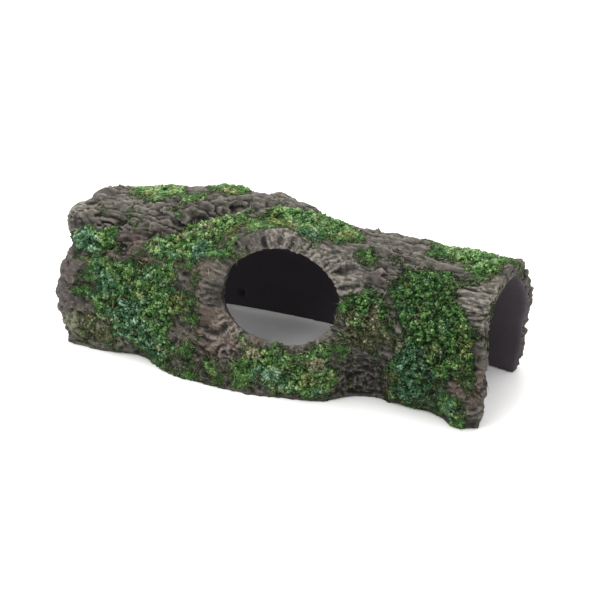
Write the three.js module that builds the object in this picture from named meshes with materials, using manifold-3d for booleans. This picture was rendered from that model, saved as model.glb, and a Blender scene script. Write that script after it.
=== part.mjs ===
// A hollow half-log: an arch of bark, open at both ends, with a knot hole in its front wall and pads of moss.
// Millimetres, +Z up, +X along the log, the knot hole faces -Y. It stands on z = 0, centred on the origin.
import * as THREE from "three";
import { mergeVertices } from "three/addons/utils/BufferGeometryUtils.js";
import { ImprovedNoise } from "three/addons/math/ImprovedNoise.js";
import Module from "manifold-3d";

const wasm = await Module();
wasm.setup();
const noise = new ImprovedNoise();
const { clamp, lerp, smoothstep, degToRad } = THREE.MathUtils;

// A place on the log's skin is given by two numbers. `along` is x in millimetres. `round` goes over the log
// from the front foot, 0, past the crown, about 0.5, to the back foot, 1.
const LENGTH = 250;
const ARC = 205; // mean distance over the log from foot to foot
const WALL = 8; // bark thickness where the skin is plain
const SINK = 6; // depth to which the feet are drawn before they are cut off level
const MOSS_GAP = 0.3; // between the moss and the bark under it
const TUCK = 1.03; // share of a moss pad's reach at which its edge goes under the skin
const TUCK_DEPTH = 1.2;
const THROUGH = 70; // length of a cutter that goes right through one wall

// Plan and height of the log, as [along, millimetres]
const frontFoot = spline([
  [-125, -43], [-96, -45], [-73, -42], [-61, -50], [-25, -57.5], [10, -56],
  [38, -50], [48, -41], [70, -36], [95, -38], [109, -46], [122, -42],
]);
const frontWall = spline([
  [-125, -44], [-70, -45], [-30, -48], [10, -48], [45, -43], [80, -41], [125, -42],
]);
const backWall = spline([[-125, 34], [-60, 36], [0, 36], [60, 34], [125, 29]]);
const backFoot = spline([[-125, 32], [-60, 33], [0, 33], [60, 31], [105, 24], [130, 17]]);
const crownHeight = spline([
  [-125, 70], [-106, 75.5], [-80, 79], [-35, 84], [-12, 84.5],
  [5, 83], [40, 79], [80, 75], [105, 76], [125, 77],
]);
const CROWN_Y = -6;
const FLARE_HEIGHT = 38; // the feet lean out or in below this height
const FRONT_SQUARENESS = 2.9; // 2 is an ellipse, more is a squarer shoulder
const BACK_SQUARENESS = 2.4;

// Ragged ends, as [round, along]
const leftEnd = spline([
  [0, -121], [0.1, -123], [0.17, -126], [0.23, -124], [0.28, -122], [0.33, -117],
  [0.41, -126], [0.45, -125], [0.5, -120], [0.62, -118], [0.75, -124], [1, -122],
]);
const rightEnd = spline([
  [0, 120], [0.06, 122], [0.12, 119], [0.2, 121], [0.3, 118],
  [0.4, 121], [0.5, 125], [0.55, 127.5], [0.61, 126], [0.7, 130], [0.78, 131], [0.86, 128.5], [0.93, 129.5],
  [1, 127.5],
]);

// The knot hole, the collar of bark that swells round it, and the folds that run into it
const knot = {
  along: 9.5, round: 0.277, halfLength: 31.5, halfHeight: 23.5, lean: 26, flare: 0.3, wobble: 0.07,
};
const collar = { width: 19, rise: 7.5, lipDrop: 3, folds: 19, foldHeight: 0.9, foldWander: 3 };

// A small blind hole in the back wall's inner face, and the slight lift of that wall's edge between its two ends
const backHole = { along: -41, height: 11, radius: 2.3, depth: 4.5 };
const backLift = { from: -112, to: 62, height: 1.8 };

// Furrows in the skin: two sizes of them, each drawn out along the log
const longFurrow = { height: 2, length: 36, width: 9, seed: 0.5 };
const shortFurrow = { height: 1.1, length: 13, width: 8, seed: 4.5 };

// Plates of old bark that lie over the log, each from its lower edge up to `upper`. The edge stands `rise`
// proud, wanders a little, and is steep; the plate fades into the log at its ends and towards `upper`.
const plateEdge = { wander: 0.014, wanderLength: 8, steepness: 0.01, endFade: 3, upperFade: 0.08 };
const plates = [
  {
    // the long flake over the left crown
    from: -121, to: -10, upper: 0.74, rise: 4.5,
    lower: spline([
      [-121, 0.4], [-109, 0.412], [-93, 0.408], [-84, 0.388], [-75, 0.374],
      [-60, 0.385], [-52, 0.408], [-43, 0.44], [-30, 0.486], [-13, 0.56],
    ]),
  },
  {
    // a second layer on that flake
    from: -74, to: -38, upper: 0.6, rise: 2,
    lower: spline([[-74, 0.42], [-66, 0.434], [-50, 0.426], [-38, 0.46]]),
  },
  {
    // the step behind the moss of the crown
    from: -15, to: 10, upper: 0.76, rise: 5.5,
    lower: spline([[-15, 0.585], [0, 0.58], [10, 0.6]]),
  },
  {
    // two thin layers on the right crown
    from: 40, to: 82, upper: 0.64, rise: 2,
    lower: spline([[40, 0.4], [50, 0.43], [66, 0.45], [82, 0.445]]),
  },
  { from: 54, to: 84, upper: 0.62, rise: 1.6, lower: spline([[54, 0.495], [70, 0.485], [84, 0.495]]) },
  {
    // the right flank, which ends in a step beside the crook
    from: 68, to: 124, upper: 0.36, rise: 3,
    lower: spline([[68, -0.05], [96, -0.1], [124, -0.05]]),
  },
  {
    // two plates on the back
    from: -104, to: -12, upper: 0.95, rise: 3,
    lower: spline([[-104, 0.8], [-60, 0.77], [-12, 0.82]]),
  },
  { from: 12, to: 114, upper: 0.93, rise: 3.2, lower: spline([[12, 0.75], [60, 0.71], [114, 0.74]]) },
];

// Swellings and hollows: `rise` is the height at the middle and `radius` the reach, in millimetres
const LUMP_STEEPNESS = 1.6;
const lumps = [
  { along: -115, round: 0.24, radius: 9, rise: 3 }, // burls on the left end
  { along: -116, round: 0.165, radius: 9, rise: 3.5 },
  { along: -122, round: 0.43, radius: 7, rise: 7 },
  { along: -112, round: 0.53, radius: 9, rise: 3.5 },
  { along: -99, round: 0.24, radius: 9, rise: -2 },
  { along: -86, round: 0.33, radius: 7, rise: -4.5 }, // a knot that has fallen out
  { along: -77, round: 0.33, radius: 6, rise: 1.5 },
  { along: -36, round: 0.56, radius: 16, rise: 1.6 }, // hump of the crown
  { along: 57, round: 0.1, radius: 14, rise: -3.2 }, // crook beside the knot
  { along: 111, round: 0.075, radius: 13, rise: 4 }, // foot of the right end
  { along: 122, round: 0.48, radius: 8, rise: 3 },
  { along: -84, round: 0.9, radius: 14, rise: 3 }, // swellings on the back
  { along: 30, round: 0.84, radius: 16, rise: 3.5 },
  { along: 96, round: 0.9, radius: 13, rise: 3 },
];

// Pads of moss: an outline of [along, round] places, and the height to which the tips reach. A pad is domed,
// its tips are uneven, and its mesh has more spokes the longer its outline is.
const padForm = {
  edgeDrop: 0.8, unevenness: 0.3, tuftSize: 7, minSpokes: 8, maxSpokes: 20, longOutline: 240,
};
const smallPadRings = [0.5, 0.92];
const largePadRings = [0.36, 0.7, 0.95];
const LARGE_PAD_SPOKES = 15;
const mossPads = [
  {
    name: "moss_left_shoulder", height: 3,
    outline: [
      [-117, 0.38], [-109, 0.4], [-99, 0.4], [-90, 0.385], [-92, 0.35],
      [-92, 0.315], [-97, 0.292], [-108, 0.295], [-116, 0.33],
    ],
  },
  {
    name: "moss_left", height: 3.4,
    outline: [
      [-103, 0.278], [-90, 0.296], [-79, 0.298], [-67, 0.298], [-58, 0.292], [-56, 0.262], [-48, 0.248],
      [-40, 0.225], [-44, 0.18], [-53, 0.152], [-54, 0.1], [-49, 0.055], [-54, 0.024], [-67, 0.024],
      [-81, 0.045], [-92, 0.1], [-104, 0.135], [-105, 0.17], [-99, 0.22],
    ],
  },
  {
    name: "moss_under_flake", height: 3.2,
    outline: [
      [-73, 0.342], [-66, 0.366], [-56, 0.378], [-46, 0.418], [-36, 0.446], [-27, 0.476], [-17, 0.484],
      [-15, 0.458], [-20, 0.42], [-25, 0.38], [-33, 0.345], [-48, 0.308], [-66, 0.308],
    ],
  },
  {
    name: "moss_crown", height: 3.6,
    outline: [
      [-13, 0.47], [-12, 0.52], [-3, 0.566], [8, 0.57], [18, 0.59], [30, 0.59], [39, 0.53],
      [44, 0.46], [36, 0.44], [25, 0.43], [12, 0.432], [2, 0.448], [-6, 0.46],
    ],
  },
  {
    name: "moss_flake_top", height: 2.6,
    outline: [
      [-100, 0.56], [-88, 0.575], [-75, 0.57], [-64, 0.55], [-57, 0.507],
      [-63, 0.478], [-69, 0.458], [-78, 0.458], [-87, 0.478], [-95, 0.52],
    ],
  },
  {
    name: "moss_hump", height: 2.4,
    outline: [[-47, 0.54], [-40, 0.52], [-32, 0.52], [-27, 0.55], [-30, 0.6], [-38, 0.62], [-46, 0.59]],
  },
  {
    name: "moss_sill", height: 3.4,
    outline: [
      [-8, 0.155], [4, 0.15], [14, 0.148], [24, 0.15], [33, 0.165], [41, 0.2], [44, 0.16], [40, 0.11],
      [44, 0.06], [41, 0.026], [33, 0.018], [22, 0.014], [11, 0.016], [1, 0.024], [-5, 0.045], [-10, 0.09],
    ],
  },
  {
    name: "moss_knot_side", height: 3.2,
    outline: [
      [43, 0.25], [45, 0.29], [50, 0.322], [58, 0.346], [65, 0.335], [67, 0.3],
      [69, 0.27], [61, 0.24], [62, 0.2], [56, 0.162], [49, 0.168], [45, 0.205],
    ],
  },
  {
    name: "moss_right", height: 3.8,
    outline: [
      [68, 0.362], [71, 0.4], [80, 0.43], [92, 0.438], [105, 0.405], [103, 0.365], [101, 0.327],
      [110, 0.305], [114, 0.26], [116, 0.205], [115, 0.158], [100, 0.137], [94, 0.092], [89, 0.05],
      [79, 0.016], [70, 0.035], [71, 0.12], [71, 0.2], [74, 0.255], [70, 0.31],
    ],
  },
  {
    name: "moss_right_end", height: 3,
    outline: [
      [83, 0.488], [91, 0.478], [99, 0.46], [107, 0.437], [114, 0.437], [121, 0.446],
      [122, 0.49], [119, 0.545], [110, 0.585], [97, 0.6], [86, 0.59], [80, 0.54],
    ],
  },
  {
    name: "moss_right_foot", height: 2.4,
    outline: [[97, 0.055], [103, 0.082], [109, 0.1], [112, 0.075], [110, 0.032], [105, 0.014], [99, 0.02]],
  },
  {
    name: "moss_back_left", height: 3.2,
    outline: [[-100, 0.72], [-86, 0.75], [-66, 0.745], [-48, 0.7], [-52, 0.66], [-70, 0.64], [-90, 0.66]],
  },
  {
    name: "moss_back_right", height: 3.4,
    outline: [[6, 0.86], [22, 0.89], [44, 0.86], [62, 0.8], [58, 0.73], [36, 0.7], [14, 0.73], [2, 0.79]],
  },
];

// A smooth curve through [at, value] stops
function spline(stops) {
  const at = Float32Array.from(stops, (stop) => stop[0]);
  const values = Float32Array.from(stops, (stop) => stop[1]);
  const curve = new THREE.CubicInterpolant(at, values, 1, new Float32Array(1));
  return (t) => curve.evaluate(t)[0];
}

// The plain arch at one place along the log: a function of `round` that gives y, z and the outward normal
function archAt(along) {
  const steps = 120;
  const points = [];
  for (let i = 0; i <= steps; i++) {
    const angle = (Math.PI * i) / steps;
    const across = Math.cos(angle);
    const inFront = across > 0;
    const wall = inFront ? frontWall(along) : backWall(along);
    const foot = inFront ? frontFoot(along) : backFoot(along);
    const power = 2 / (inFront ? FRONT_SQUARENESS : BACK_SQUARENESS);
    const z = crownHeight(along) * Math.sin(angle) ** power;
    const flare = Math.max(0, 1 - z / FLARE_HEIGHT) ** 2;
    const y = CROWN_Y + (wall - CROWN_Y) * Math.abs(across) ** power + (foot - wall) * flare;
    points.push(new THREE.Vector2(y, z));
  }
  const lengths = [0];
  for (let i = 1; i <= steps; i++) lengths.push(lengths[i - 1] + points[i].distanceTo(points[i - 1]));
  return (round) => {
    const target = clamp(round, 0, 1) * lengths[steps];
    let i = 1;
    while (i < steps && lengths[i] < target) i++;
    const share = (target - lengths[i - 1]) / (lengths[i] - lengths[i - 1]);
    const point = points[i - 1].clone().lerp(points[i], share);
    const before = points[Math.max(0, i - 3)];
    const after = points[Math.min(steps, i + 2)];
    const normal = new THREE.Vector2(before.y - after.y, after.x - before.x).normalize();
    const below = Math.max(0, -round, round - 1) * ARC;
    return { y: point.x, z: point.y - below, normal };
  };
}

// The collar: a rounded swelling whose lip drops into the hole, creased by folds that run into it
function collarHeight(along, round) {
  const across = (along - knot.along) / knot.halfLength;
  const over = ((round - knot.round) * ARC) / knot.halfHeight;
  const out = ((Math.hypot(across, over) - 1) * knot.halfHeight) / collar.width;
  const swell = collar.rise * (1 - smoothstep(out, 0.1, 1));
  const lip = collar.lipDrop * (1 - smoothstep(out, -0.1, 0.3));
  const wander = collar.foldWander * noise.noise(across * 2, over * 2, 7.5);
  const fold = Math.sin(collar.folds * Math.atan2(over, across) + wander);
  return swell - lip + collar.foldHeight * fold * (1 - smoothstep(out, 0.3, 1.2));
}

function plateHeight(plate, along, round) {
  const { wander, wanderLength, steepness, endFade, upperFade } = plateEdge;
  const lowEdge = plate.lower(along) + wander * noise.noise(along / wanderLength, plate.from, 2.5);
  const start = smoothstep(along, plate.from - endFade, plate.from + endFade);
  const stop = 1 - smoothstep(along, plate.to - endFade, plate.to + endFade);
  const lip = smoothstep(round, lowEdge - steepness, lowEdge + steepness);
  const fade = 1 - smoothstep(round, plate.upper - upperFade, plate.upper);
  return plate.rise * start * stop * lip * fade;
}

function lumpHeight(lump, along, round) {
  const out = Math.hypot(along - lump.along, (round - lump.round) * ARC) / lump.radius;
  return lump.rise * Math.exp(-LUMP_STEEPNESS * out * out);
}

function furrowHeight(furrow, along, round) {
  return furrow.height * noise.noise(along / furrow.length, (round * ARC) / furrow.width, furrow.seed);
}

// Height of the skin above the plain arch
function relief(along, round) {
  const sum = (list, height) => list.reduce((total, item) => total + height(item, along, round), 0);
  const furrows = sum([longFurrow, shortFurrow], furrowHeight);
  return furrows + collarHeight(along, round) + sum(plates, plateHeight) + sum(lumps, lumpHeight);
}

// The point `lift` millimetres above the skin at a place
function skinPoint(along, round, lift) {
  const base = archAt(along)(round);
  const height = relief(along, clamp(round, 0, 1)) + lift;
  return [along, base.y + base.normal.x * height, base.z + base.normal.y * height];
}

function indexed(positions, index) {
  const geometry = new THREE.BufferGeometry();
  geometry.setAttribute("position", new THREE.Float32BufferAttribute(positions, 3));
  geometry.setIndex(index);
  return geometry;
}

// A closed arch-shaped bar. `place` gives the point at shares of the way along and over; each end is a fan.
function barGeometry(stations, spokes, place) {
  const positions = [];
  const index = [];
  for (let i = 0; i < stations; i++) {
    for (let j = 0; j < spokes; j++) positions.push(...place(i / (stations - 1), j / (spokes - 1)));
  }
  const at = (i, j) => i * spokes + (j % spokes);
  for (let i = 0; i < stations - 1; i++) {
    for (let j = 0; j < spokes; j++) {
      index.push(at(i, j), at(i + 1, j + 1), at(i, j + 1), at(i, j), at(i + 1, j), at(i + 1, j + 1));
    }
  }
  for (const end of [0, stations - 1]) {
    const hub = positions.length / 3;
    positions.push(positions[at(end, 0) * 3], CROWN_Y, FLARE_HEIGHT);
    for (let j = 0; j < spokes; j++) {
      index.push(hub, ...(end ? [at(end, j + 1), at(end, j)] : [at(end, j), at(end, j + 1)]));
    }
  }
  return indexed(positions, index);
}

// The log with no hollow, its skin lifted by `lift`
function logGeometry(lift) {
  const margin = SINK / ARC;
  return barGeometry(53, 39, (alongShare, overShare) => {
    const round = lerp(-margin, 1 + margin, overShare);
    const end = clamp(round, 0, 1);
    return skinPoint(lerp(leftEnd(end), rightEnd(end), alongShare), round, lift);
  });
}

// The tunnel, drawn past both ends
function tunnelGeometry() {
  const margin = SINK / ARC;
  const reach = LENGTH / 2 + 15;
  return barGeometry(16, 20, (alongShare, overShare) => {
    const along = lerp(-reach, reach, alongShare);
    const base = archAt(along)(lerp(-margin, 1 + margin, overShare));
    return [along, base.y - base.normal.x * WALL, base.z - base.normal.y * WALL];
  });
}

// The knot hole's cutter: an uneven oval pushed in through the front wall, wider inside than at the lip
function knotHoleGeometry() {
  const corners = 28;
  const outline = [];
  for (let i = 0; i < corners; i++) {
    const angle = (2 * Math.PI * i) / corners;
    const uneven = 1 + knot.wobble * noise.noise(2 * Math.cos(angle), 2 * Math.sin(angle), 9.5);
    const across = knot.halfLength * uneven * Math.cos(angle);
    const over = knot.halfHeight * uneven * Math.sin(angle);
    outline.push(new THREE.Vector2(across, over));
  }
  const options = { depth: THROUGH, bevelEnabled: false, steps: 1 };
  const plug = new THREE.ExtrudeGeometry(new THREE.Shape(outline), options).translate(0, 0, -THROUGH / 2);
  const corner = plug.getAttribute("position");
  for (let i = 0; i < corner.count; i++) {
    const widen = 1 - (knot.flare * corner.getZ(i)) / (THROUGH / 2);
    corner.setXY(i, corner.getX(i) * widen, corner.getY(i) * widen);
  }
  const [x, y, z] = skinPoint(knot.along, knot.round, 0);
  return plug.rotateX(degToRad(90 - knot.lean)).translate(x, y, z);
}

// The blind hole's cutter, which starts in the open tunnel
function backHoleGeometry() {
  const { along, height, radius, depth } = backHole;
  const bottom = backFoot(along) - WALL + depth;
  return new THREE.CylinderGeometry(radius, radius, 2 * WALL, 14).translate(along, bottom - WALL, height);
}

// A shallow bow under the back wall, which leaves the wall standing on its two ends
function backLiftGeometry() {
  const { from, to, height } = backLift;
  const bow = new THREE.Shape()
    .moveTo(from, -height)
    .quadraticCurveTo((from + to) / 2, 3 * height, to, -height);
  const options = { depth: THROUGH, bevelEnabled: false, steps: 1, curveSegments: 10 };
  return new THREE.ExtrudeGeometry(bow, options).rotateX(Math.PI / 2).translate(0, THROUGH, 0);
}

// A pad of moss: rings of points from the middle to the outline, domed above the skin and tucked under it at
// the edge, over a root deep in the log
function mossGeometry(pad) {
  const { edgeDrop, unevenness, tuftSize, minSpokes, maxSpokes, longOutline } = padForm;
  const corners = pad.outline.map(([along, round]) => new THREE.Vector3(along, round * ARC, 0));
  if (!THREE.ShapeUtils.isClockWise(corners)) corners.reverse();
  const curve = new THREE.CatmullRomCurve3(corners, true);
  const spokes = Math.round(lerp(minSpokes, maxSpokes, clamp(curve.getLength() / longOutline, 0, 1)));
  const rings = spokes < LARGE_PAD_SPOKES ? smallPadRings : largePadRings;
  const outline = curve.getSpacedPoints(spokes).slice(0, spokes);
  const middle = outline.reduce((total, p) => total.add(p), new THREE.Vector3()).divideScalar(spokes);
  const positions = [];
  const index = [];
  const addPoint = (p, lift) => positions.push(...skinPoint(p.x, p.y / ARC, lift));
  const tips = (p, share) => {
    const dome = pad.height * Math.sqrt(1 - edgeDrop * share ** 3);
    return MOSS_GAP + dome * (1 + unevenness * noise.noise(p.x / tuftSize, p.y / tuftSize, 1.5));
  };
  addPoint(middle, -2 * WALL);
  addPoint(middle, tips(middle, 0));
  for (const share of rings) {
    for (const corner of outline) {
      const p = middle.clone().lerp(corner, share);
      addPoint(p, tips(p, share));
    }
  }
  for (const corner of outline) addPoint(middle.clone().lerp(corner, TUCK), -TUCK_DEPTH);
  const at = (ring, spoke) => 2 + ring * spokes + (spoke % spokes);
  for (let s = 0; s < spokes; s++) {
    index.push(1, at(0, s + 1), at(0, s), 0, at(rings.length, s), at(rings.length, s + 1));
    for (let r = 0; r < rings.length; r++) {
      index.push(at(r, s), at(r, s + 1), at(r + 1, s + 1), at(r, s), at(r + 1, s + 1), at(r + 1, s));
    }
  }
  return indexed(positions, index);
}

function solid(geometry) {
  const loose = geometry.index ? geometry.toNonIndexed() : geometry;
  const bare = new THREE.BufferGeometry().setAttribute("position", loose.getAttribute("position"));
  const merged = mergeVertices(bare, 1e-4);
  const vertProperties = merged.getAttribute("position").array;
  const triVerts = new Uint32Array(merged.index.array);
  return new wasm.Manifold(new wasm.Mesh({ numProp: 3, vertProperties, triVerts }));
}

// The main body of a cut solid, without the crumbs
function largest(manifold) {
  return manifold.decompose().reduce((a, b) => (b.volume() > a.volume() ? b : a));
}

function meshOf(name, manifold, look) {
  const { vertProperties, triVerts } = manifold.getMesh();
  const geometry = indexed(vertProperties, Array.from(triVerts));
  geometry.computeVertexNormals();
  const mesh = new THREE.Mesh(geometry, new THREE.MeshStandardMaterial(look));
  mesh.name = name;
  return mesh;
}

const barkLook = { color: 0x564d46, roughness: 0.85, metalness: 0 };
const mossLook = { color: 0x47602f, roughness: 0.95, metalness: 0 };
const log = new THREE.Group();

const ground = solid(new THREE.BoxGeometry(2 * LENGTH, LENGTH, WALL * 5).translate(0, 0, -WALL * 2.5));
const knotHole = solid(knotHoleGeometry());
const bark = solid(logGeometry(0))
  .subtract(ground)
  .subtract(solid(tunnelGeometry()))
  .subtract(knotHole)
  .subtract(solid(backHoleGeometry()))
  .subtract(solid(backLiftGeometry()));
log.add(meshOf("bark", largest(bark), barkLook));

const underMoss = solid(logGeometry(MOSS_GAP)).add(ground.translate([0, 0, MOSS_GAP]));
for (const pad of mossPads) {
  const moss = solid(mossGeometry(pad)).subtract(underMoss).subtract(knotHole);
  log.add(meshOf(pad.name, largest(moss), mossLook));
}

// The middle of the log goes over the origin
const middle = new THREE.Box3().setFromObject(log).getCenter(new THREE.Vector3());
log.position.set(-middle.x, -middle.y, 0);

export default log;
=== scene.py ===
import math

import bpy
import numpy as np
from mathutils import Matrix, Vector, noise
from mathutils.bvhtree import BVHTree
from mathutils.kdtree import KDTree


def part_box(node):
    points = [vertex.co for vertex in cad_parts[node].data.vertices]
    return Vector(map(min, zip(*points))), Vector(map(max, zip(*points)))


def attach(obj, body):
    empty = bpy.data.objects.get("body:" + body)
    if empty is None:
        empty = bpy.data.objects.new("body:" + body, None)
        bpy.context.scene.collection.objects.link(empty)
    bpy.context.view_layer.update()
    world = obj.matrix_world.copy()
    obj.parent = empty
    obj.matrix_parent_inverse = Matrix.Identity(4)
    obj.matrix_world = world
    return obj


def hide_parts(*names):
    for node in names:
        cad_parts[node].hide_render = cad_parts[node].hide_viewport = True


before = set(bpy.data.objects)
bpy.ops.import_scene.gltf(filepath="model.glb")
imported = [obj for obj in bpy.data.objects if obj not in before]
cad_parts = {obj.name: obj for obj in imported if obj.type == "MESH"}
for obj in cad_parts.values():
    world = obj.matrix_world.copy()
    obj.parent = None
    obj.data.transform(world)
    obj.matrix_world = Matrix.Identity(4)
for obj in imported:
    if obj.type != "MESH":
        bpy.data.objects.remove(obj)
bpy.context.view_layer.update()  # the log's solids, fixed, in metres
mm = 0.001
print("frame loaded:", len(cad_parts), "nodes")


# small helpers

def pickOnly(piece):
    bpy.ops.object.select_all(action="DESELECT")
    piece.select_set(True)
    bpy.context.view_layer.objects.active = piece


def applyModifier(piece, kind, **settings):
    modifier = piece.modifiers.new(kind, kind)
    for name, value in settings.items():
        setattr(modifier, name, value)
    pickOnly(piece)
    bpy.ops.object.modifier_apply(modifier=modifier.name)


def readVectors(items, what):
    flat = np.empty(len(items) * 3, np.float32)
    items.foreach_get(what, flat)
    return flat.reshape(-1, 3).astype(float)


def keepAttribute(mesh, name, values):
    layer = mesh.attributes.new(name, "FLOAT", "POINT")
    layer.data.foreach_set("value", np.asarray(values, np.float32))


def ramp(values, low, high):
    t = np.clip((values - low) / (high - low), 0, 1)
    return t * t * (3 - 2 * t)


# a layer of noise is given as its height, the size of a lump along x, y and z in mm, a seed and octaves
grain = dict(
    roughness=0.9,         # how fast finer octaves weaken
    step=2.1,              # how much finer each octave is
    ridgeOffset=1.0, ridgeGain=2.0,
    ridgeScale=1.3, ridgeMiddle=1.5,  # bring ridges to about -1 to 1
    patchCore=0.35,        # share of a patch's radius that has its full weight
)


# soft lumps
def lumpy(points, layer):
    height, size, seed, octaves = layer
    scaled = (points / np.array(size, float) + seed).tolist()
    return height * np.array([noise.fractal(p, grain["roughness"], grain["step"], octaves) for p in scaled])


# ridges with rough crests
def ridged(points, layer):
    height, size, seed, octaves = layer
    scaled = (points / np.array(size, float) + seed).tolist()
    raw = np.array([noise.ridged_multi_fractal(p, grain["roughness"], grain["step"], octaves,
                                               grain["ridgeOffset"], grain["ridgeGain"]) for p in scaled])
    return height * (raw * grain["ridgeScale"] - grain["ridgeMiddle"])


# how far points lie within soft round patches, each given as x, y, z and radius in mm
def patched(points, patches):
    weight = np.zeros(len(points))
    for x, y, z, radius in patches:
        away = np.linalg.norm(points - np.array((x, y, z)), axis=1)
        weight = np.maximum(weight, 1 - ramp(away, grain["patchCore"] * radius, radius))
    return weight


def linear(hexColour):
    parts = [int(hexColour[i:i + 2], 16) / 255 for i in (1, 3, 5)]
    return [c / 12.92 if c <= 0.04045 else ((c + 0.055) / 1.055) ** 2.4 for c in parts] + [1.0]


# adds a node, sets its values and links: a tuple (node, socket) is a link, anything else a value
def addNode(tree, kind, inputs=None, **settings):
    node = tree.nodes.new(kind)
    for name, value in settings.items():
        setattr(node, name, value)
    for name, value in (inputs or {}).items():
        if isinstance(value, tuple) and hasattr(value[0], "outputs"):
            tree.links.new(value[0].outputs[value[1]], node.inputs[name])
        else:
            node.inputs[name].default_value = value
    return node


def newMaterial(name):
    material = bpy.data.materials.new(name)
    material.use_nodes = True
    tree = material.node_tree
    tree.nodes.clear()
    return material, tree


# bark: the log's own solid, remeshed fine, its facets smoothed and the skin worked up in relief

bark = dict(
    weld=0.005,            # mm
    voxel=0.97,            # mm, size of the skin's mesh
    smoothing=9,           # passes that take the facets off the solid
    collarSmoothing=40,    # more of them round the knot hole
    smoothFactor=0.5,
    collarRing=(4, 14),    # mm from the hole's edge that they reach
    insideShare=0.16,      # share of the faces kept in the tunnel
    insideFirst=1000.0,    # how much sooner they go than faces of the outer skin
    insideSure=0.9,        # weight above which a point is thinned as tunnel
    outerSkin=0.5,         # weight below which moss can grow
    insideFacing=(0.15, 0.5),  # how far a face looks inwards, from outer skin to tunnel wall
    hollowAxis=(3, 22),    # y and z of the line that the tunnel's wall stands round
    hollowTilt=0.2,        # keeps the feet from counting as tunnel
    knotCentre=(7.1, -33, 55),
    knotHalfLength=31.5,
    knotHalfHeight=23.5,
    knotLean=26,           # degrees that the knot hole looks up
    collarFade=(5, 17),    # mm from the hole's edge over which the collar ends
    collarFront=(-4, 10),  # and how far in front of the axis it starts
    footing=(0.2, 3),      # mm above the ground over which the relief begins
    # heights on the skin that the paint follows, in mm, and the passes that they are measured against; they
    # place the painted shade in hollows and crevices and the painted highlight on crests
    crestHeight=0.3, crestReach=6,
    hollowDepth=1.2, washAndShadeReach=45,
    brushed=0.55, brushedCrest=(0.2, 1.5), paleCrest=(-0.1, 0.9),
    # mm above the floor over which the painted shade along the foot fades out
    footShadeBand=(3, 13),
    # places, as x, y, z and radius
    ledgesAt=[(-95, -18, 78, 30), (-60, -16, 84, 34), (-30, -8, 90, 24), (62, -18, 80, 26),
              (0, 6, 92, 22), (-40, 34, 68, 30), (66, 36, 62, 30), (-104, 38, 44, 26)],
    fibresAt=[(112, -24, 62, 24), (104, -20, 70, 18)],
    notchAt=[(-116, -7, 79, 6)],
    reddish=[(-25, -42, 33, 22), (-34, -42, 21, 18), (-8, -46, 30, 12), (107, -40, 24, 16),
             (114, -38, 26, 13), (-83, -28, 64, 14), (-73, -31, 61, 10), (-38, -36, 62, 14),
             (62, -26, 74, 12), (-14, 46, 26, 26), (92, 42, 34, 24)],
    purple=[(-122, -34, 48, 20), (-120, -36, 30, 18), (-84, -22, 68, 12), (56, -24, 76, 14),
            (5, -22, 84, 14), (-64, 46, 22, 28), (40, 36, 64, 24)],
    # pale: where the crests get a stronger painted highlight
    pale=[(111, -23, 67, 18), (36, -30, 70, 20), (22, -30, 74, 18), (-122, -12, 74, 10),
          (-20, -44, 30, 18), (2, -22, 86, 12)],
    # dark: patches of painted shade, in the crook below the knot hole and other hollows; the relief is
    # rougher there too
    dark=[(53, -30, 16, 20), (48, -32, 8, 16), (-88, -25, 63, 9), (60, -34, 28, 8), (-27, -40, 54, 11)],
    algae=[(-113, -37, 14, 15), (-104, -37, 13, 14), (-94, -38, 12, 14), (62, 46, 12, 22),
           (-100, 46, 16, 20)],
    # the relief, in mm: everything wanders, so that no ridge runs straight
    wander=[(3.0, (15, 9, 9), 3.1, 2), (2.4, (17, 9, 9), 7.7, 2), (2.4, (17, 9, 9), 12.9, 2)],
    # fissured bark, drawn out along the log, strong in some places and worn in others
    fissures=(1.25, (15, 6, 6), 11.7, 4), fissureGrit=(0.8, (5.5, 3, 3), 4.4, 3),
    wear=(1.0, (30, 18, 18), 50.3, 1), wearRange=(-0.35, 0.35), wornHeight=0.5,
    # knobs and pits with no direction, all over the low front as far as the crook, a little elsewhere
    crumbs=(1.7, (6.5, 6, 6), 31.9, 4), crumbEdges=(0.75, (4.6, 4.4, 4.4), 17.1, 3),
    crumbledTop=(36, 16), crumbledRight=(74, 58), crumbledFront=(10, -20),
    crumbledElsewhere=0.3, crumbledInDark=0.5,
    # ledges: layers that rise slowly and break off in a ragged edge
    ledgeAxis=(5, 20), ledgesPerRadian=9, ledgeWander=(1.5, (26, 10, 10), 21.3, 3),
    ledgeHeight=2.6, ledgeMiddle=0.35, ledgeBreak=0.86, ledgeDip=0.5, ledgeGrit=(0.7, (5.5, 3, 3), 4.4, 3),
    # fibres that run straight to the right end
    fibres=(1.05, (26, 3.4, 3.4), 61.1, 3), fibreGrit=(0.7, (8, 2, 2), 9.1, 2), fibreWander=0.35,
    overlaid=0.8,          # how far ledges and fibres replace the skin under them
    # folds that run into the knot hole and die out at its lip
    foldsRound=8, foldLength=14, foldWander=0.1, folds=(1.2, (1, 1, 1), 2.2, 3),
    foldLumps=(0.7, (5, 5, 5), 14.2, 3), lip=(-1.5, 4), lipHeight=0.3,
    # burls on the left end are smoother
    burlsLeft=(-96, -112), burlsTop=(76, 64), burlCalm=0.5, burlCrumbs=0.4,
    notchDepth=3.0, sunk=0.1,
    tunnel=(0.35, (19, 14, 14), 40.2, 1),
)


# distance from the knot hole's edge, turn round it and depth into it
def knotPlace(points):
    lean = math.radians(bark["knotLean"])
    away = points - np.array(bark["knotCentre"])
    across = away[:, 0] / bark["knotHalfLength"]
    over = (away[:, 1] * math.sin(lean) + away[:, 2] * math.cos(lean)) / bark["knotHalfHeight"]
    depth = away[:, 1] * math.cos(lean) - away[:, 2] * math.sin(lean)
    out = (np.hypot(across, over) - 1) * bark["knotHalfHeight"]
    turn = np.arctan2(over, across)
    return out, turn, depth


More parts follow.
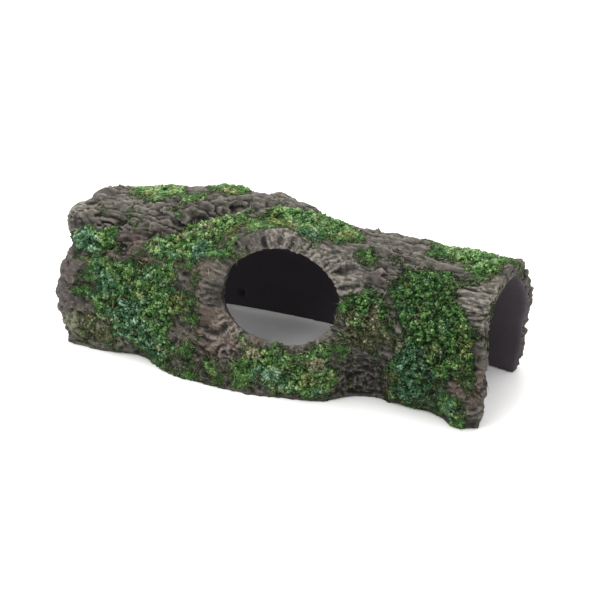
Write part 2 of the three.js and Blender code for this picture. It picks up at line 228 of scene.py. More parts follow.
def ledgeRelief(points, wavy):
    axisY, axisZ = bark["ledgeAxis"]
    aroundLog = np.arctan2(points[:, 2] - axisZ, points[:, 1] - axisY)
    layer = aroundLog * bark["ledgesPerRadian"] + lumpy(wavy, bark["ledgeWander"])
    step = layer - np.floor(layer)
    broken = ramp(step, bark["ledgeBreak"], 1.0)
    rise = bark["ledgeHeight"] * (bark["ledgeMiddle"] - step) * (1 - broken) - bark["ledgeDip"] * broken
    return rise + lumpy(wavy, bark["ledgeGrit"])


def foldRelief(out, turn, depth, wavy, warp):
    ring = np.column_stack([np.cos(turn) * bark["foldsRound"], np.sin(turn) * bark["foldsRound"],
                            (out + depth) / bark["foldLength"]]) + bark["foldWander"] * warp
    fold = ridged(ring, bark["folds"]) + lumpy(wavy, bark["foldLumps"])
    return fold * (bark["lipHeight"] + (1 - bark["lipHeight"]) * ramp(out, *bark["lip"]))


def barkRelief(points, inside):
    x, y, z = points.T
    out, turn, depth = knotPlace(points)
    warp = np.column_stack([lumpy(points, layer) for layer in bark["wander"]])
    wavy = points + warp
    wornHeight = bark["wornHeight"]
    worn = wornHeight + (1 - wornHeight) * ramp(lumpy(points, bark["wear"]), *bark["wearRange"])
    fissured = ridged(wavy, bark["fissures"]) + lumpy(wavy, bark["fissureGrit"])
    crumbled = lumpy(wavy, bark["crumbs"]) + ridged(points, bark["crumbEdges"])
    fibrous = ridged(points + bark["fibreWander"] * warp, bark["fibres"]) + lumpy(wavy, bark["fibreGrit"])
    # where each kind lies
    low = ramp(z, *bark["crumbledTop"]) * ramp(x, *bark["crumbledRight"]) * ramp(y, *bark["crumbledFront"])
    burls = ramp(x, *bark["burlsLeft"]) * ramp(z, *bark["burlsTop"])
    ledges = patched(points, bark["ledgesAt"])
    fibres = patched(points, bark["fibresAt"])
    collar = (1 - ramp(out, *bark["collarFade"])) * ramp(-y, *bark["collarFront"])
    everywhere = bark["crumbledElsewhere"]
    rougher = 1 + bark["crumbledInDark"] * patched(points, bark["dark"])
    skin = fissured * worn * (1 - low) + crumbled * (everywhere + (1 - everywhere) * low) * rougher
    skin = skin * (1 - bark["overlaid"] * ledges) + ledgeRelief(points, wavy) * ledges
    skin = skin * (1 - bark["overlaid"] * fibres) + fibrous * fibres
    skin = skin * (1 - bark["burlCalm"] * burls) + bark["burlCrumbs"] * crumbled * burls
    skin = skin * (1 - collar) + foldRelief(out, turn, depth, wavy, warp) * collar
    skin -= bark["notchDepth"] * patched(points, bark["notchAt"])
    return (skin - bark["sunk"]) * (1 - inside) + lumpy(points, bark["tunnel"]) * inside


def neighbourMean(values, edges, counts):
    total = np.empty_like(values)
    for axis in range(values.shape[1]):
        column = values[:, axis]
        total[:, axis] = np.bincount(edges[:, 0], column[edges[:, 1]], len(column))
        total[:, axis] += np.bincount(edges[:, 1], column[edges[:, 0]], len(column))
    return total / counts[:, None]


# how far each point stands above its smoothed neighbourhood, in mm
def standProud(points, normals, edges, passes):
    counts = np.bincount(edges.ravel(), minlength=len(points)).astype(float)
    smooth = points.copy()
    for _ in range(passes):
        smooth = (smooth + neighbourMean(smooth, edges, counts)) / 2
    return ((points - smooth) * normals).sum(1)


# 1 on the tunnel's wall, 0 on the outer skin
def insideWeight(points, normals):
    axisY, axisZ = bark["hollowAxis"]
    towards = np.column_stack([np.zeros(len(points)), points[:, 1] - axisY, points[:, 2] - axisZ])
    towards[:, 2] = np.maximum(towards[:, 2], -axisZ * bark["hollowTilt"])
    towards /= np.linalg.norm(towards, axis=1)[:, None]
    facing = (towards * normals).sum(1)
    return ramp(-facing, *bark["insideFacing"])


# point attributes that the paint follows
def markSkin(mesh, points, inside):
    normals = readVectors(mesh.vertices, "normal")
    edges = np.empty(len(mesh.edges) * 2, np.int32)
    mesh.edges.foreach_get("vertices", edges)
    edges = edges.reshape(-1, 2)
    crest = standProud(points, normals, edges, bark["crestReach"]) / bark["crestHeight"]
    hollow = -standProud(points, normals, edges, bark["washAndShadeReach"]) / bark["hollowDepth"]
    # dry-brushed paint on the crests, with painted highlights in the pale patches
    brushed = bark["brushed"] * ramp(crest, *bark["brushedCrest"])
    brushed += patched(points, bark["pale"]) * ramp(crest, *bark["paleCrest"])
    keepAttribute(mesh, "crest", crest)
    keepAttribute(mesh, "brushed", brushed)
    keepAttribute(mesh, "hollow", hollow)
    keepAttribute(mesh, "inside", inside)
    # painted shade along the foot, darkest at the floor
    keepAttribute(mesh, "foot", 1 - ramp(points[:, 2], *bark["footShadeBand"]))
    for patch in ("reddish", "purple", "dark", "algae"):
        keepAttribute(mesh, patch, patched(points, bark[patch]))


def makeBark():
    skin = bpy.data.objects.new("bark_skin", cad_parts["bark"].data.copy())
    bpy.context.scene.collection.objects.link(skin)
    pickOnly(skin)
    bpy.ops.object.mode_set(mode="EDIT")
    bpy.ops.mesh.select_all(action="SELECT")
    bpy.ops.mesh.remove_doubles(threshold=bark["weld"] * mm)
    bpy.ops.object.mode_set(mode="OBJECT")
    skin.data.materials.clear()
    applyModifier(skin, "REMESH", mode="VOXEL", voxel_size=bark["voxel"] * mm)
    applyModifier(skin, "SMOOTH", factor=bark["smoothFactor"], iterations=bark["smoothing"])
    # the collar's facets are taken off further, and it gets finer folds below
    points = readVectors(skin.data.vertices, "co") / mm
    out = knotPlace(points)[0]
    ringFrom, ringTo = bark["collarRing"]
    ring = (out > ringFrom) & (out < ringTo) & (points[:, 1] < 0)
    group = skin.vertex_groups.new(name="collar")
    group.add(np.nonzero(ring)[0].tolist(), 1.0, "REPLACE")
    applyModifier(skin, "SMOOTH", factor=bark["smoothFactor"], iterations=bark["collarSmoothing"],
                  vertex_group="collar")
    # the tunnel's wall is smooth, so it keeps only a few of its faces
    points = readVectors(skin.data.vertices, "co") / mm
    tunnel = insideWeight(points, readVectors(skin.data.vertices, "normal")) > bark["insideSure"]
    group = skin.vertex_groups.new(name="inside")
    group.add(np.nonzero(tunnel)[0].tolist(), 1.0, "REPLACE")
    applyModifier(skin, "DECIMATE", ratio=1 - tunnel.mean() * (1 - bark["insideShare"]),
                  vertex_group="inside", vertex_group_factor=bark["insideFirst"])
    skin.vertex_groups.clear()
    mesh = skin.data
    points = readVectors(mesh.vertices, "co") / mm
    calm = readVectors(mesh.vertices, "normal")
    inside = insideWeight(points, calm)
    footing = ramp(points[:, 2], *bark["footing"])  # the feet stay flat
    points += calm * (barkRelief(points, inside) * footing)[:, None]
    points[:, 2] = np.maximum(points[:, 2], 0)
    mesh.vertices.foreach_set("co", (points * mm).astype(np.float32).ravel())
    mesh.update()
    markSkin(mesh, points, inside)
    pickOnly(skin)
    bpy.ops.object.shade_smooth()
    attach(skin, "root")
    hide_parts("bark")
    print("bark skin:", len(mesh.polygons), "faces")
    return skin, points, calm, inside


# moss: crumbs, sprigs and dry fibres that grow from the bark up to the height of each pad's solid,
# and thin out past its edge

moss = dict(
    seed=41,
    edge=4.5,              # mm over which the moss thickens from the pad's edge
    reach=8.0,             # mm that crumbs stray past it
    lookFrom=9.0,          # mm above the bark from which the pad's top is looked for
    farOff=-3.0,           # cover where no pad is near
    thinFrom=0.05, thinCover=0.6,  # where a thin patch starts, and how far short of full cover it stays
    baldCover=2.0,         # what a bald patch takes off
    ragged=(1.0, (10, 10, 10), 3.7, 3), raggedFine=(0.5, (2.5, 2.5, 2.5), 8.1, 1),
    keptRange=(-0.42, 0.36), keptShare=0.97,
    clump=(0.65, (3.6, 3.6, 3.6), 3.3, 2), clumpMiddle=0.65, clumpLeast=0.1, grownRange=(-0.1, 0.75),
    crumbs=2.5,            # per square mm of bark
    shapes=12,             # different crumbs
    crumbCorners=(0.7, 1.45),
    crumbSize=(0.44, 0.84),  # mm, half-breadth
    crumbStretch=(0.65, 1.35),
    # share of a crumb's size where the moss is thin, and what is added where it is thick
    strayCrumb=0.55, grownCrumb=0.5, strayRange=(-0.2, 0.5),
    lowestLevel=0.03, sunkShare=0.5, leastHeight=0.15,
    crumbTone=(0.15, 0.45, 0.26, 0.12),   # least, by height, by clump, spread; by height and by clump is painted shade, darker low in the moss and paler on the tops
    sprigs=0.75,           # bunches per square mm
    blades=3,              # in a bunch
    sprigRoot=0.6, sprigLean=0.65,
    sprigLength=(0.9, 2.0), shortSprig=0.35,
    sprigBreadth=0.2, breadthSpread=(0.7, 1.2),
    sprigTone=(0.25, 0.45, 0.18, 0.07),   # least, by growth, spread of bunches, of blades; by growth is painted shade, darker on short sprigs
    straws=0.105,          # dry fibres tried per square mm
    strawThin=0.55, strawElsewhere=0.25,  # kept where the moss is thinner, and this share of the rest
    strawLength=(2, 5.5), strawBreadth=0.15, strawRise=0.1,
    strawHeight=0.25, strawInMoss=0.5, strawMossRange=(0, 0.7),
    strawTone=(0.55, 1.05),
    strawMark=-9.0,        # stands in for how ragged the moss is at a straw
    # other greens drift through every pad: noise, and how strong it is away from the pads' own patches
    tints=dict(teal=((1.0, (9, 9, 9), 2.2, 2), 0.5), yellow=((1.0, (9, 9, 9), 5.5, 2), 0.32),
               dry=((1.0, (9, 9, 9), 9.9, 2), 0.25)),
    driftInPatch=0.9, patchRange=(0.25, 0.85), driftRange=(0.1, 0.55), tintSpread=(0.45, 1.1),
    dryEdge=(-0.3, 0.6), drySpread=(0.2, 1),
    ground=0.1,            # mm, lowest crumb
    stainFrom=-0.1, stainReach=3.0, stainMargin=14,
)

# each pad's patches, as x, y, z and radius in mm: other greens, thin moss past its solid, and bare bark;
# shade is taken off the pad's tone
pads = dict(
    moss_left_shoulder=dict(
        teal=[(-112, -29, 60, 14), (-118, -24, 68, 9)], shade=-0.06,
        thin=[(-98, -34, 52, 14)],
        bald=[(-122, -14, 76, 14), (-104, -18, 78, 13)]),
    moss_left=dict(
        teal=[(-82, -38, 26, 22), (-70, -39, 16, 16), (-98, -36, 44, 12)],
        yellow=[(-52, -38, 43, 10)],
        dry=[(-106, -37, 16, 18)],
        thin=[(-106, -37, 40, 14), (-100, -37, 18, 18), (-50, -46, 8, 20), (-30, -50, 6, 16),
              (-47, -38, 36, 13), (-70, -40, 8, 14)]),
    moss_under_flake=dict(
        teal=[(-40, -28, 70, 9)], yellow=[(-22, -20, 80, 10)], shade=-0.08,
        thin=[(-64, -34, 58, 16), (-12, -14, 86, 14), (-30, -26, 76, 15), (-50, -28, 70, 15)],
        bald=[(-66, -22, 80, 10)]),
    moss_crown=dict(
        teal=[(12, -20, 84, 9), (18, -14, 86, 9)],
        yellow=[(-2, -10, 88, 13), (34, -12, 83, 14)], shade=-0.05,
        thin=[(-12, -8, 88, 12), (48, -16, 80, 9)]),
    moss_flake_top=dict(
        yellow=[(-84, -2, 86, 9)], dry=[(-104, 2, 80, 14)], shade=-0.06,
        thin=[(-55, -2, 88, 12)],
        bald=[(-88, -15, 81, 12)]),
    moss_hump=dict(
        yellow=[(-38, 4, 90, 10)], shade=-0.08,
        thin=[(-26, 0, 90, 10)]),
    moss_sill=dict(
        teal=[(4, -50, 10, 16)], yellow=[(26, -44, 12, 7)],
        dry=[(-8, -48, 26, 11), (30, -44, 22, 8)], shade=-0.1,
        thin=[(40, -38, 34, 12), (-14, -50, 10, 14), (34, -44, 8, 10), (38, -40, 26, 10)]),
    moss_knot_side=dict(
        dry=[(54, -35, 42, 20), (44, -37, 46, 14)], shade=0.08,
        thin=[(64, -34, 46, 14), (45, -36, 50, 10), (58, -34, 58, 12)]),
    moss_right=dict(
        teal=[(79, -36, 34, 15), (82, -36, 18, 20), (96, -38, 12, 14)],
        yellow=[(71, -35, 20, 6), (108, -34, 44, 8)],
        dry=[(70, -34, 40, 9)], shade=0.1,
        thin=[(80, -34, 8, 14), (95, -38, 8, 12), (72, -28, 64, 12), (90, -22, 70, 12),
              (108, -36, 30, 12)]),
    moss_right_end=dict(
        teal=[(90, -20, 74, 12)], yellow=[(76, -14, 79, 8), (112, -14, 78, 8)], shade=-0.08,
        thin=[(88, -22, 72, 12)]),
    moss_right_foot=dict(
        teal=[(103, -40, 10, 10)],
        thin=[(104, -42, 6, 12)]),
    moss_back_left=dict(
        yellow=[(-70, 40, 60, 14)],
        thin=[(-50, 44, 40, 18), (-88, 42, 46, 16), (-40, 46, 24, 14)]),
    moss_back_right=dict(
        teal=[(30, 44, 36, 16)],
        thin=[(60, 42, 30, 18), (2, 46, 26, 16), (20, 34, 64, 14)]),
)


# one crumb has eight faces, and its six corners are pushed in and out
def crumbShapes(rng):
    corners = np.array([(1, 0, 0), (-1, 0, 0), (0, 1, 0), (0, -1, 0), (0, 0, 1), (0, 0, -1)], float)
    faces = np.array([(0, 2, 4), (2, 1, 4), (1, 3, 4), (3, 0, 4),
                      (2, 0, 5), (1, 2, 5), (3, 1, 5), (0, 3, 5)])
    shapes = corners * rng.uniform(*moss["crumbCorners"], (moss["shapes"], len(corners), 1))
    return shapes, faces


# one sprig blade is a three-sided spike that stands on z = 0
def bladeShape():
    bpy.ops.object.select_all(action="DESELECT")
    bpy.ops.mesh.primitive_cone_add(vertices=3, radius1=1, radius2=0, depth=1, location=(0, 0, 0.5),
                                    end_fill_type="NGON")
    spike = bpy.context.object
    bpy.ops.object.transform_apply(location=True, rotation=True, scale=True)
    corners = readVectors(spike.data.vertices, "co")
    faces = np.array([p.vertices[:] for p in spike.data.polygons])
    bpy.data.objects.remove(spike)
    return corners, faces


# three axes for each direction: z along it, turned about it at random
def framesAlong(directions, rng):
    zAxis = directions / np.linalg.norm(directions, axis=1)[:, None]
    other = rng.normal(size=zAxis.shape)
    xAxis = np.cross(other, zAxis)
    xAxis /= np.linalg.norm(xAxis, axis=1)[:, None]
    return np.stack([xAxis, np.cross(zAxis, xAxis), zAxis], axis=1)


def joinedMesh(name, points, faces, attributes):
    mesh = bpy.data.meshes.new(name)
    mesh.vertices.add(len(points))
    mesh.vertices.foreach_set("co", (points * mm).astype(np.float32).ravel())
    mesh.loops.add(faces.size)
    mesh.loops.foreach_set("vertex_index", faces.astype(np.int32).ravel())
    mesh.polygons.add(len(faces))
    mesh.polygons.foreach_set("loop_start", np.arange(0, faces.size, 3, dtype=np.int32))
    mesh.update(calc_edges=True)
    for key, values in attributes.items():
        keepAttribute(mesh, key, values)
    return mesh


# the outer skin's triangles, for crumbs to be spread on
def skinTriangles(skin, points, calm, inside):
    skin.data.calc_loop_triangles()
    triangles = np.empty(len(skin.data.loop_triangles) * 3, np.int32)
    skin.data.loop_triangles.foreach_get("vertices", triangles)
    triangles = triangles.reshape(-1, 3)
    outer = triangles[inside[triangles].max(1) < bark["outerSkin"]]
    corners = points[outer]
    sides = np.cross(corners[:, 1] - corners[:, 0], corners[:, 2] - corners[:, 0])
    return dict(corners=corners, calm=calm[outer].mean(1), middles=corners.mean(1),
                areas=np.linalg.norm(sides, axis=1) / 2)


# random feet on the skin near a pad, the height of the pad's solid over each, and how thickly moss
# grows there: about 1 well inside the pad, 0 at its edge, below 0 past it
def feetNear(outer, nearby, padTree, look, density, rng):
    areas = outer["areas"][nearby]
    chosen = nearby[rng.choice(len(nearby), int(areas.sum() * density), p=areas / areas.sum())]
    u, v = rng.random((2, len(chosen), 1))
    over = (u + v) > 1
    u, v = np.where(over, 1 - u, u), np.where(over, 1 - v, v)
    corners = outer["corners"][chosen]
    feet = corners[:, 0] * (1 - u - v) + corners[:, 1] * u + corners[:, 2] * v
    normals = outer["calm"][chosen]
    heights = np.zeros(len(feet))
    cover = np.zeros(len(feet))
    bare = KDTree(len(feet))
    lookFrom = moss["lookFrom"]
    for i, (foot, normal) in enumerate(zip(feet.tolist(), normals.tolist())):
        hit = padTree.ray_cast(Vector(foot) + lookFrom * Vector(normal), -Vector(normal), lookFrom)
        if hit[0] is not None:
            heights[i] = lookFrom - hit[3]
        else:
            bare.insert(foot, i)
            found = padTree.find_nearest(foot, moss["reach"] * 2)
            cover[i] = -found[3] / moss["reach"] if found[0] is not None else moss["farOff"]
    bare.balance()
    for i in np.nonzero(heights > 0)[0].tolist():
        cover[i] = min(1, bare.find(feet[i])[2] / moss["edge"])
    cover = np.maximum(cover, patched(feet, look["thin"]) - moss["thinCover"])
    cover -= moss["baldCover"] * patched(feet, look.get("bald", []))
    ragged = cover + lumpy(feet, moss["ragged"]) + lumpy(feet, moss["raggedFine"])
    kept = rng.random(len(feet)) < moss["keptShare"] * ramp(ragged, *moss["keptRange"])
    return feet[kept], normals[kept], heights[kept], ragged[kept]


# clumps that the moss's top rises and falls in, and how far it has grown up to the pad's solid
def growth(feet, ragged):
    clump = moss["clumpMiddle"] + lumpy(feet, moss["clump"])
    return clump, np.clip(clump, moss["clumpLeast"], 1) * ramp(ragged, *moss["grownRange"])


# crumbs fill the pad from the bark up
def growCrumbs(place, look, shapes, rng):
    feet, normals, heights, ragged = feetNear(*place, look, moss["crumbs"], rng)
    clump, grown = growth(feet, ragged)
    level = np.sqrt(rng.uniform(moss["lowestLevel"], 1, len(feet))) * grown
    filled = moss["strayCrumb"] + moss["grownCrumb"] * ramp(ragged, *moss["strayRange"])
    size = rng.uniform(*moss["crumbSize"], len(feet)) * filled
    rise = np.maximum(heights * level - moss["sunkShare"] * size, moss["leastHeight"])
    centres = feet + normals * rise[:, None]
    turn = framesAlong(rng.normal(size=feet.shape), rng)
    stretch = rng.uniform(*moss["crumbStretch"], (len(feet), 1, 3)) * size[:, None, None]
    crumbs = (shapes[rng.integers(0, len(shapes), len(feet))] * stretch) @ turn + centres[:, None, :]
    least, byLevel, byClump, spread = moss["crumbTone"]
    # the tone is partly random and partly painted shade: low crumbs and low clumps darker
    tone = least + byLevel * level + byClump * clump + rng.normal(0, spread, len(feet))
    tone -= look.get("shade", 0)
    return crumbs, centres, tone, ragged, feet


# sprigs stand out of the clumps
def growSprigs(place, look, blade, rng):
    feet, normals, heights, ragged = feetNear(*place, look, moss["sprigs"], rng)
    grown = growth(feet, ragged)[1]
    count = moss["blades"]
    roots = np.repeat(feet + normals * (heights * grown * moss["sprigRoot"])[:, None], count, axis=0)
    lean = np.repeat(normals, count, axis=0) + rng.normal(0, moss["sprigLean"], (len(roots), 3))
    tall = np.repeat(moss["shortSprig"] + (1 - moss["shortSprig"]) * grown, count)
    length = rng.uniform(*moss["sprigLength"], len(roots)) * tall
    breadth = moss["sprigBreadth"] * rng.uniform(*moss["breadthSpread"], len(roots))
    stretch = np.stack([breadth, breadth, length], axis=1)[:, None, :]
    blades = (blade[None] * stretch) @ framesAlong(lean, rng) + roots[:, None, :]
    least, byGrowth, spread, bladeSpread = moss["sprigTone"]
    # the tone is partly random and partly painted shade: sprigs of short moss darker
    tone = np.repeat(least + byGrowth * grown + rng.normal(0, spread, len(feet)), count)
    tone -= look.get("shade", 0)
    tone += rng.normal(0, bladeSpread, len(roots))
    return blades, roots, tone, np.repeat(ragged, count)


# a few long dry fibres lie about, most of them where the moss is thin
def strewStraws(place, look, blade, rng):
    feet, normals, heights, ragged = feetNear(*place, look, moss["straws"], rng)
    kept = (ragged < moss["strawThin"]) | (rng.random(len(feet)) < moss["strawElsewhere"])
    feet, normals, heights, ragged = feet[kept], normals[kept], heights[kept], ragged[kept]
    lean = np.cross(normals, rng.normal(size=feet.shape))
    lean = lean / np.linalg.norm(lean, axis=1)[:, None] + moss["strawRise"] * normals
    length = rng.uniform(*moss["strawLength"], len(feet))
    breadth = np.full(len(feet), moss["strawBreadth"])
    stretch = np.stack([breadth, breadth, length], axis=1)[:, None, :]
    inMoss = moss["strawInMoss"] * heights * ramp(ragged, *moss["strawMossRange"])
    roots = feet + normals * (moss["strawHeight"] + inMoss)[:, None]
    straws = (blade[None] * stretch) @ framesAlong(lean, rng) + roots[:, None, :]
    return straws, roots, rng.uniform(*moss["strawTone"], len(feet)), np.full(len(feet), moss["strawMark"])


# how far each crumb takes on one of the other greens
def tintWeight(key, places, ragged, look, rng):
    layer, amount = moss["tints"][key]
    drift = lumpy(places, layer)
    weight = ramp(patched(places, look.get(key, [])) + moss["driftInPatch"] * drift, *moss["patchRange"])
    weight = np.maximum(weight, amount * ramp(drift, *moss["driftRange"]))
    weight *= rng.uniform(*moss["tintSpread"], len(places))
    if key == "dry":
        edge = (1 - ramp(ragged, *moss["dryEdge"])) * rng.uniform(*moss["drySpread"], len(places))
        weight = np.where(ragged == moss["strawMark"], 1.0, np.maximum(weight, edge))
    return np.clip(weight, 0, 1)


# how near each point of the bark is to moss, for the green stain under it
def stainSkin(stained, points, feet, low, high):
    margin, reach = moss["stainMargin"], moss["stainReach"]
    tree = KDTree(len(feet))
    for i, foot in enumerate(feet.tolist()):
        tree.insert(foot, i)
    tree.balance()
    close = np.nonzero(np.all((points > low - margin) & (points < high + margin), axis=1))[0]
    for index in close.tolist():
        away = tree.find(points[index])[2]
        stained[index] = max(stained[index], 1 - away / reach)


def makeMoss(skin, points, calm, inside, material):
    rng = np.random.default_rng(moss["seed"])
    shapes, crumbFaces = crumbShapes(rng)
    blade, bladeFaces = bladeShape()
    outer = skinTriangles(skin, points, calm, inside)
    stained = np.zeros(len(points))
    total = 0
    for name, look in pads.items():
        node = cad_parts[name]
        padTree = BVHTree.FromPolygons([v.co / mm for v in node.data.vertices],
                                       [p.vertices[:] for p in node.data.polygons])
        low, high = (np.array(corner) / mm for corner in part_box(name))
        middles = outer["middles"]
        near = np.all((middles > low - moss["reach"]) & (middles < high + moss["reach"]), axis=1)
        near |= patched(middles, look["thin"]) > moss["thinFrom"]
        place = outer, np.nonzero(near)[0], padTree
        *crumbs, feet = growCrumbs(place, look, shapes, rng)
        sprigs = growSprigs(place, look, blade, rng)
        straws = strewStraws(place, look, blade, rng)

        allPoints, allFaces, first = [], [], 0
        columns = dict(tone=[], teal=[], yellow=[], dry=[])
        for faces, part in ((crumbFaces, crumbs), (bladeFaces, sprigs), (bladeFaces, straws)):
            bodies, places, tone, ragged = part
            count, corners = bodies.shape[:2]
            starts = first + corners * np.arange(count)
            allPoints.append(bodies.reshape(-1, 3))
            allFaces.append((faces[None] + starts[:, None, None]).reshape(-1, 3))
            first += count * corners
            columns["tone"].append(np.repeat(tone, corners))
            for key in moss["tints"]:
                columns[key].append(np.repeat(tintWeight(key, places, ragged, look, rng), corners))
        allPoints = np.concatenate(allPoints)
        allPoints[:, 2] = np.maximum(allPoints[:, 2], moss["ground"])
        pad = joinedMesh(name + "_crumbs", allPoints, np.concatenate(allFaces),
                         {key: np.concatenate(values) for key, values in columns.items()})
        piece = bpy.data.objects.new(name + "_crumbs", pad)
        bpy.context.scene.collection.objects.link(piece)
        pad.materials.append(material)
        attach(piece, "root")
        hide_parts(name)
        total += len(pad.polygons)
        print(name, len(pad.polygons), "faces")
        rooted = crumbs[3] > moss["stainFrom"]
        stainSkin(stained, points, feet[rooted], low, high)
    keepAttribute(skin.data, "mossy", stained)
    print("moss:", total, "faces")


# cast resin painted as bark: a matt grey-brown; darker in the hollows and crevices, the paint's wash with
# painted shade over it; painted shade in dark patches and along the foot; its crests dry-brushed a little
# paler, with painted highlights in the pale patches
barkPaint = dict(
    base="#3d3934", worn="#59554d", inside="#403b41",
    # each noise's size in mm and its detail; the streaks are drawn out along the log
    noises=dict(patch=(20, 5.0), streak=(2.4, 5.0), grit=(1.5, 4.0), fine=(0.9, 3.0)),
    drawnOut=(0.25, 1, 1), wornRange=(0.35, 0.65),
    # on the streaks' noise: dark streaks and pale flecks, and thin cracks where it crosses its middle
    streakMiddle=0.53,
    streaks=[("streak", 0.5, 0.3, 0.6, "#2a2724"), ("streak", 0.56, 0.7, 0.55, "#837c72"),
             ("crossing", 0.03, 0.005, 0.6, "#191715")],
    # attribute, its low and high, noise that breaks it up, that noise's low and high, share, colour
    layers=[
        ("purple", 0.0, 1.0, "patch", 0.3, 0.6, 0.6, "#443c3d"),
        ("reddish", 0.0, 1.0, "grit", 0.35, 0.6, 0.75, "#523c31"),
        ("algae", 0.0, 1.0, "grit", 0.38, 0.56, 0.8, "#7d8361"),
        ("mossy", 0.0, 1.0, "patch", 0.2, 0.55, 0.7, "#20291a"),
        # painted shade in the dark patches
        ("dark", 0.0, 1.0, "grit", 0.0, 0.4, 0.82, "#161513"),
        # painted shade along the foot
        ("foot", 0.0, 1.0, "patch", 0.25, 0.6, 0.7, "#1d2019"),
        # painted shade in the hollows, laid over the paint's dark wash
        ("hollow", 0.05, 1.0, "grit", 0.0, 0.3, 0.85, "#131110"),
        # painted shade in the fine crevices below the crests
        ("crest", -0.1, -1.1, "grit", 0.0, 0.3, 0.8, "#100f0e"),
        # dry-brushed crests, and painted highlights in the pale patches
        ("brushed", 0.0, 1.0, "grit", 0.3, 0.58, 0.75, "#8d877e"),
    ],
    streakBump=1.6, bumpStrength=0.5, bumpDepth=0.5,  # depth in mm
    dullRange=(0.2, 0.8), roughness=(0.75, 0.95), specular=0.3,
)


def makeBarkMaterial():
    material, tree = newMaterial("castResinBark")
    paint = barkPaint
    place = addNode(tree, "ShaderNodeTexCoord"), "Object"
    along = addNode(tree, "ShaderNodeMapping", {"Vector": place, "Scale": paint["drawnOut"]})
    noises = {}
    for name, (size, detail) in paint["noises"].items():
        noises[name] = addNode(tree, "ShaderNodeTexNoise", {
            "Vector": (along, 0) if name == "streak" else place, "Scale": 1 / (size * mm), "Detail": detail})
    streak, grit = noises["streak"], noises["grit"]
    off = addNode(tree, "ShaderNodeMath", {0: (streak, 0), 1: paint["streakMiddle"]}, operation="SUBTRACT")
    noises["crossing"] = addNode(tree, "ShaderNodeMath", {0: (off, 0)}, operation="ABSOLUTE")
    low, high = paint["wornRange"]
    share = addNode(tree, "ShaderNodeMapRange", {0: (noises["patch"], 0), 1: low, 2: high})
    colour = addNode(tree, "ShaderNodeMix", {
        0: (share, 0), 6: linear(paint["base"]), 7: linear(paint["worn"])}, data_type="RGBA")
    for source, low, high, amount, hexColour in paint["streaks"]:
        share = addNode(tree, "ShaderNodeMapRange", {0: (noises[source], 0), 1: low, 2: high, 4: amount})
        colour = addNode(tree, "ShaderNodeMix", {0: (share, 0), 6: (colour, 2), 7: linear(hexColour)},
                         data_type="RGBA")
    for name, low, high, breaker, breakLow, breakHigh, amount, hexColour in paint["layers"]:
        painted = addNode(tree, "ShaderNodeAttribute", attribute_name=name)
        where = addNode(tree, "ShaderNodeMapRange", {0: (painted, "Fac"), 1: low, 2: high})
        broken = addNode(tree, "ShaderNodeMapRange",
                         {0: (noises[breaker], 0), 1: breakLow, 2: breakHigh, 4: amount})
        share = addNode(tree, "ShaderNodeMath", {0: (where, 0), 1: (broken, 0)}, operation="MULTIPLY")
        colour = addNode(tree, "ShaderNodeMix", {0: (share, 0), 6: (colour, 2), 7: linear(hexColour)},
                         data_type="RGBA")
    painted = addNode(tree, "ShaderNodeAttribute", attribute_name="inside")
    colour = addNode(tree, "ShaderNodeMix", {
        0: (painted, "Fac"), 6: (colour, 2), 7: linear(paint["inside"])}, data_type="RGBA")
    rough = addNode(tree, "ShaderNodeMath", {
        0: (streak, 0), 1: paint["streakBump"], 2: (noises["fine"], 0)}, operation="MULTIPLY_ADD")
    bump = addNode(tree, "ShaderNodeBump", {
        "Height": (rough, 0), "Strength": paint["bumpStrength"], "Distance": paint["bumpDepth"] * mm})
    low, high = paint["dullRange"]
    smoothest, dullest = paint["roughness"]
    dull = addNode(tree, "ShaderNodeMapRange", {0: (grit, 0), 1: low, 2: high, 3: smoothest, 4: dullest})
    shader = addNode(tree, "ShaderNodeBsdfPrincipled", {
        "Base Color": (colour, 2), "Roughness": (dull, 0), "Normal": (bump, 0),
        "Specular IOR Level": paint["specular"]})
    addNode(tree, "ShaderNodeOutputMaterial", {"Surface": (shader, 0)})
    return material


# dried moss crumbs: matt, mid-green, each crumb its own tone, with painted shade low in the moss and paler
# tops, bluish, yellowish or dry in patches
mossPaint = dict(
    tones=dict(
        green=[(0.1, "#10190c"), (0.4, "#2b4722"), (0.7, "#4b723a"), (1.0, "#8ca570")],
        teal=[(0.1, "#0e1911"), (0.4, "#264630"), (0.7, "#476c52"), (1.0, "#90ac98")],
        yellow=[(0.1, "#1c210e"), (0.4, "#445127"), (0.7, "#697541"), (1.0, "#a5a973")],
        dry=[(0.1, "#1d1b14"), (0.4, "#4a4735"), (0.7, "#75705a"), (1.0, "#b0a98e")],
    ),
    roughness=0.9, specular=0.2,
)


def makeMossMaterial():
    material, tree = newMaterial("driedMossCrumbs")
    tone = addNode(tree, "ShaderNodeAttribute", attribute_name="tone")
    colour = None
    for name, stops in mossPaint["tones"].items():
        tones = addNode(tree, "ShaderNodeValToRGB", {"Fac": (tone, "Fac")})
        elements = tones.color_ramp.elements
        while len(elements) < len(stops):
            elements.new(0.5)
        for element, (at, hexColour) in zip(elements, stops):
            element.position = at
            element.color = linear(hexColour)
        if colour is None:
            colour = tones, 0
            continue
        painted = addNode(tree, "ShaderNodeAttribute", attribute_name=name)
        mixed = addNode(tree, "ShaderNodeMix", {0: (painted, "Fac"), 6: colour, 7: (tones, 0)},
                        data_type="RGBA")
        colour = mixed, 2
    shader = addNode(tree, "ShaderNodeBsdfPrincipled", {
        "Base Color": colour, "Roughness": mossPaint["roughness"],
        "Specular IOR Level": mossPaint["specular"]})
    addNode(tree, "ShaderNodeOutputMaterial", {"Surface": (shader, 0)})
    return material


# studio: pale floor, soft lights and the photograph's viewpoint

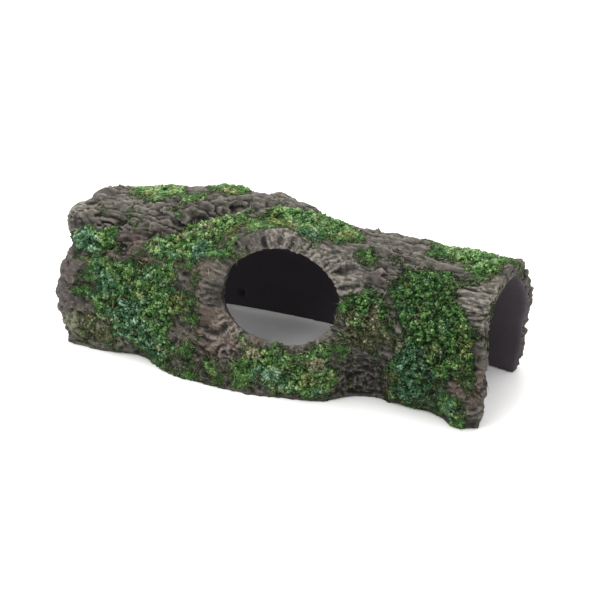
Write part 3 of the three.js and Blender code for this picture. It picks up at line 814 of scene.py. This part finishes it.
studio = dict(
    azimuth=20, elevation=30, viewAngle=24,       # degrees
    distance=790, lookAt=(2.58, 7.51, 29.6),      # mm
    clipStart=0.01,
    floorSize=6.0, floorColour="#f2f1f0", floorRoughness=0.8, skyColour="#ffffff", sky=0.45,
    # name, place in m, breadth in m, power in W
    lights=[("key", (-0.45, -0.55, 1.0), 0.9, 11.5), ("fill", (0.9, -0.6, 0.6), 0.9, 3.0),
            ("top", (0.1, 0.35, 1.2), 1.2, 19.0), ("behind", (-0.2, 1.0, 0.12), 0.4, 8.0),
            ("side", (-1.0, 0.02, 0.25), 0.3, 3.8)],
)


def makeStudio():
    scene = bpy.context.scene
    azimuth, elevation = math.radians(studio["azimuth"]), math.radians(studio["elevation"])
    lookAt = Vector(studio["lookAt"]) * mm
    away = Vector((math.sin(azimuth) * math.cos(elevation), -math.cos(azimuth) * math.cos(elevation),
                   math.sin(elevation)))
    bpy.ops.object.camera_add(location=lookAt + away * studio["distance"] * mm)
    camera = bpy.context.object
    camera.rotation_euler = away.to_track_quat("Z", "Y").to_euler()
    camera.data.angle = math.radians(studio["viewAngle"])
    camera.data.clip_start = studio["clipStart"]
    scene.camera = camera
    for name, place, size, power in studio["lights"]:
        bpy.ops.object.light_add(type="AREA", location=place)
        lamp = bpy.context.object
        lamp.name = name
        lamp.rotation_euler = Vector(place).to_track_quat("Z", "Y").to_euler()
        lamp.data.size = size
        lamp.data.energy = power
    world = bpy.data.worlds.new("studioSky")
    world.use_nodes = True
    background = world.node_tree.nodes["Background"]
    background.inputs["Color"].default_value = linear(studio["skyColour"])
    background.inputs["Strength"].default_value = studio["sky"]
    scene.world = world
    scene.view_settings.view_transform = "Standard"
    bpy.ops.object.select_all(action="DESELECT")
    bpy.ops.mesh.primitive_plane_add(size=studio["floorSize"])
    floor = bpy.context.object
    floor.name = "floor"
    material, tree = newMaterial("paleFloor")
    shader = addNode(tree, "ShaderNodeBsdfPrincipled", {
        "Base Color": linear(studio["floorColour"]), "Roughness": studio["floorRoughness"]})
    addNode(tree, "ShaderNodeOutputMaterial", {"Surface": (shader, 0)})
    floor.data.materials.append(material)
    print("studio ready")


makeStudio()
mossMaterial = makeMossMaterial()
barkSkin, skinPoints, calmNormals, insideness = makeBark()
barkSkin.data.materials.append(makeBarkMaterial())
makeMoss(barkSkin, skinPoints, calmNormals, insideness, mossMaterial)
